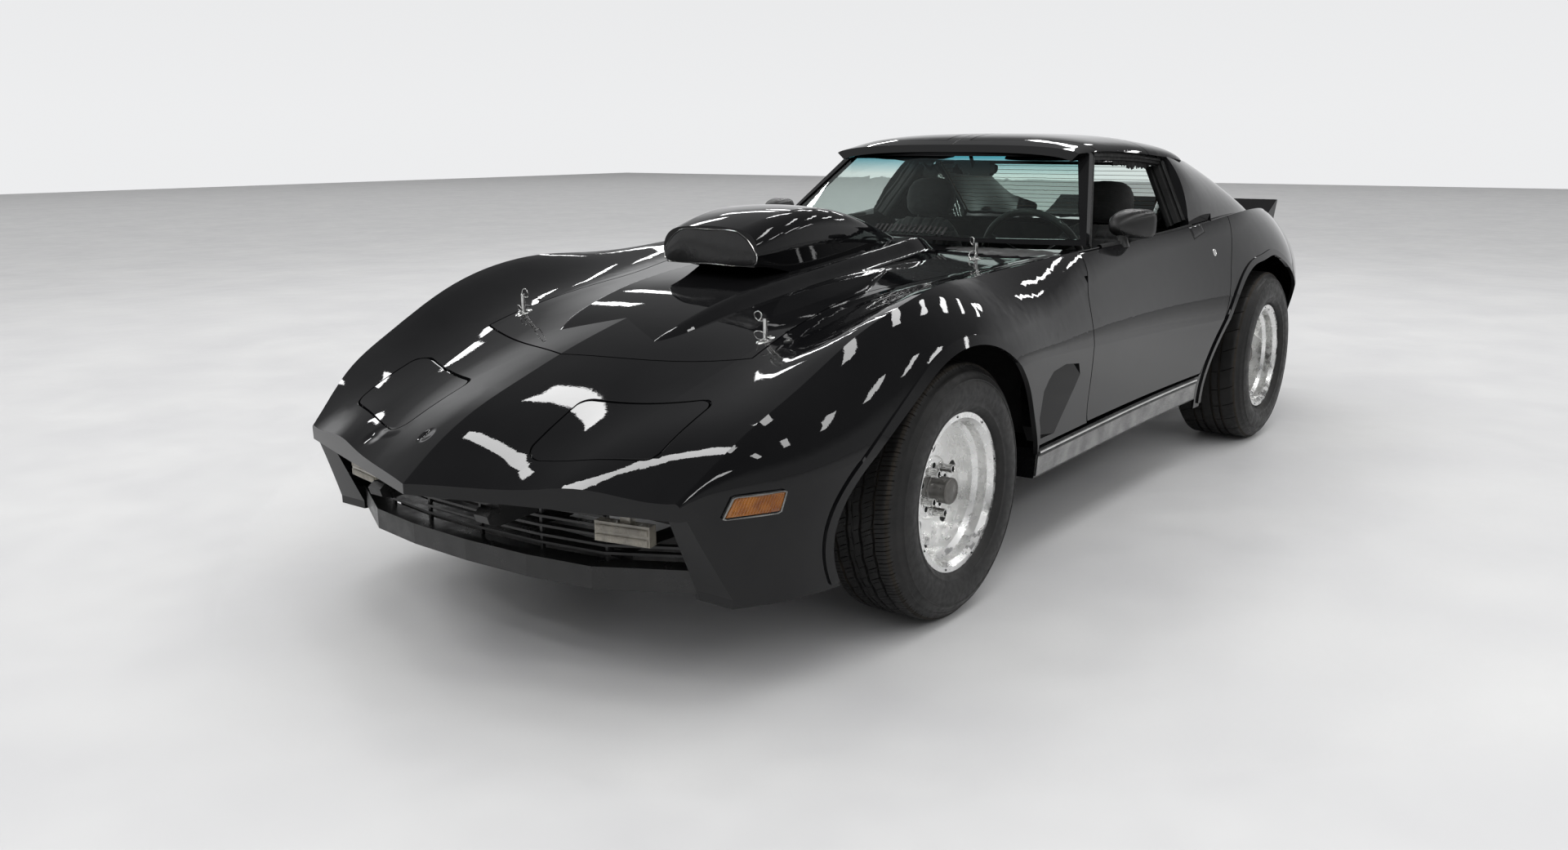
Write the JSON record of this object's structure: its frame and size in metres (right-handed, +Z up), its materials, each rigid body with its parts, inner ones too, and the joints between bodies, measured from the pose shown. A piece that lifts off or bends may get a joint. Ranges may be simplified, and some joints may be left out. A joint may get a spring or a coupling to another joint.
{
  "type": "sports car",
  "caption": "Low two-seat sports car with a wedge nose, tall hood scoop, flared arches, lift-off roof panels, ducktail spoiler and wide rear tyres.",
  "frame": {"origin": "on the floor under the middle of the car's length and width", "axes": "+X forward along the car, +Y to the car's left, +Z up"},
  "size_m": [4.704, 1.7484, 1.2201],
  "materials": {
    "gloss_black_paint": "gloss",
    "satin_black": "satin",
    "chassis_black": "matte",
    "interior_black": "matte",
    "seat_fabric": "matte",
    "brushed_aluminium": "brushed",
    "polished_aluminium": "polished",
    "bright_steel": "polished",
    "black_rubber": "matte",
    "tyre_rubber": "matte",
    "clear_lens": "gloss",
    "amber_lens": "gloss",
    "red_lens": "gloss",
    "window_glass": "gloss",
    "grey_rim": "satin"
  },
  "bodies": {
    "root": {"frame_rails": "chassis_black", "cross_members": "chassis_black", "cabin_tub": "interior_black", "firewall": "interior_black", "luggage_shelf": "interior_black", "front_clip": "gloss_black_paint", "rear_body": "gloss_black_paint", "sills": "gloss_black_paint", "rocker_trims": "brushed_aluminium", "front_valance": "satin_black", "grille": "satin_black", "bumper_guards": "black_rubber", "turn_signals": "clear_lens", "side_markers": "amber_lens", "windshield_frame": "satin_black", "windshield": "window_glass", "t_top_panels": "gloss_black_paint", "rear_window": "window_glass", "rear_bumper": "gloss_black_paint", "tail_lamps": "red_lens", "rear_spoiler": "gloss_black_paint", "hood_pins": "bright_steel", "engine": "chassis_black", "radiator": "chassis_black", "dashboard": "interior_black", "center_console": "interior_black", "seats": "seat_fabric", "steering_column": "interior_black", "front_suspension": "chassis_black", "rear_axle": "chassis_black", "rear_view_mirror": "satin_black"},
    "hood": {"hood": "gloss_black_paint", "hood_scoop": "gloss_black_paint"},
    "door_left": {"door_left": "gloss_black_paint", "door_mirror_left": "satin_black"},
    "door_right": {"door_right": "gloss_black_paint", "door_mirror_right": "satin_black"},
    "headlamp_left": {"headlamp_left": "gloss_black_paint"},
    "headlamp_right": {"headlamp_right": "gloss_black_paint"},
    "knuckle_left": {"knuckle_left": "chassis_black"},
    "knuckle_right": {"knuckle_right": "chassis_black"},
    "steering_wheel": {"steering_wheel": "grey_rim"},
    "wheel_front_left": {"rim_front_left": "polished_aluminium", "tyre_front_left": "tyre_rubber"},
    "wheel_front_right": {"rim_front_right": "polished_aluminium", "tyre_front_right": "tyre_rubber"},
    "wheel_rear_left": {"rim_rear_left": "polished_aluminium", "tyre_rear_left": "tyre_rubber"},
    "wheel_rear_right": {"rim_rear_right": "polished_aluminium", "tyre_rear_right": "tyre_rubber"}
  },
  "joints": [
    {"name": "hood_lift", "type": "slide", "parent": "root", "child": "hood", "axis": [0, 0, 1], "range_m": [0, 0.35]},
    {"name": "door_left_hinge", "type": "hinge", "parent": "root", "child": "door_left", "pos_m": [0.585, 0.8, 0.55], "axis": [0, 0, -1], "range_deg": [0, 65]},
    {"name": "door_right_hinge", "type": "hinge", "parent": "root", "child": "door_right", "pos_m": [0.585, -0.8, 0.55], "axis": [0, 0, 1], "range_deg": [0, 65]},
    {"name": "headlamp_left_lift", "type": "hinge", "parent": "root", "child": "headlamp_left", "pos_m": [1.838, 0.36, 0.619], "axis": [0, -1, 0], "range_deg": [0, 40]},
    {"name": "headlamp_right_lift", "type": "hinge", "parent": "root", "child": "headlamp_right", "pos_m": [1.838, -0.36, 0.619], "axis": [0, -1, 0], "range_deg": [0, 40]},
    {"name": "front_left_steer", "type": "hinge", "parent": "root", "child": "knuckle_left", "pos_m": [1.292, 0.62, 0.332], "axis": [0, 0, 1], "range_deg": [-30, 30]},
    {"name": "front_right_steer", "type": "hinge", "parent": "root", "child": "knuckle_right", "pos_m": [1.292, -0.62, 0.332], "axis": [0, 0, 1], "range_deg": [-30, 30]},
    {"name": "steering_wheel_turn", "type": "hinge", "parent": "root", "child": "steering_wheel", "pos_m": [0, 0.38, 0.785], "axis": [-0.9397, 0, 0.342], "range_deg": [-480, 480]},
    {"name": "front_left_spin", "type": "hinge", "parent": "knuckle_left", "child": "wheel_front_left", "pos_m": [1.292, 0.715, 0.332], "axis": [0, 1, 0], "continuous": true},
    {"name": "front_right_spin", "type": "hinge", "parent": "knuckle_right", "child": "wheel_front_right", "pos_m": [1.292, -0.715, 0.332], "axis": [0, 1, 0], "continuous": true},
    {"name": "rear_left_spin", "type": "hinge", "parent": "root", "child": "wheel_rear_left", "pos_m": [-1.197, 0.718, 0.338], "axis": [0, 1, 0], "continuous": true},
    {"name": "rear_right_spin", "type": "hinge", "parent": "root", "child": "wheel_rear_right", "pos_m": [-1.197, -0.718, 0.338], "axis": [0, 1, 0], "continuous": true}
  ],
  "couplings": [
    {"joint": "front_right_steer", "follows": "front_left_steer", "ratio": 1},
    {"joint": "steering_wheel_turn", "follows": "front_left_steer", "ratio": 16}
  ]
}
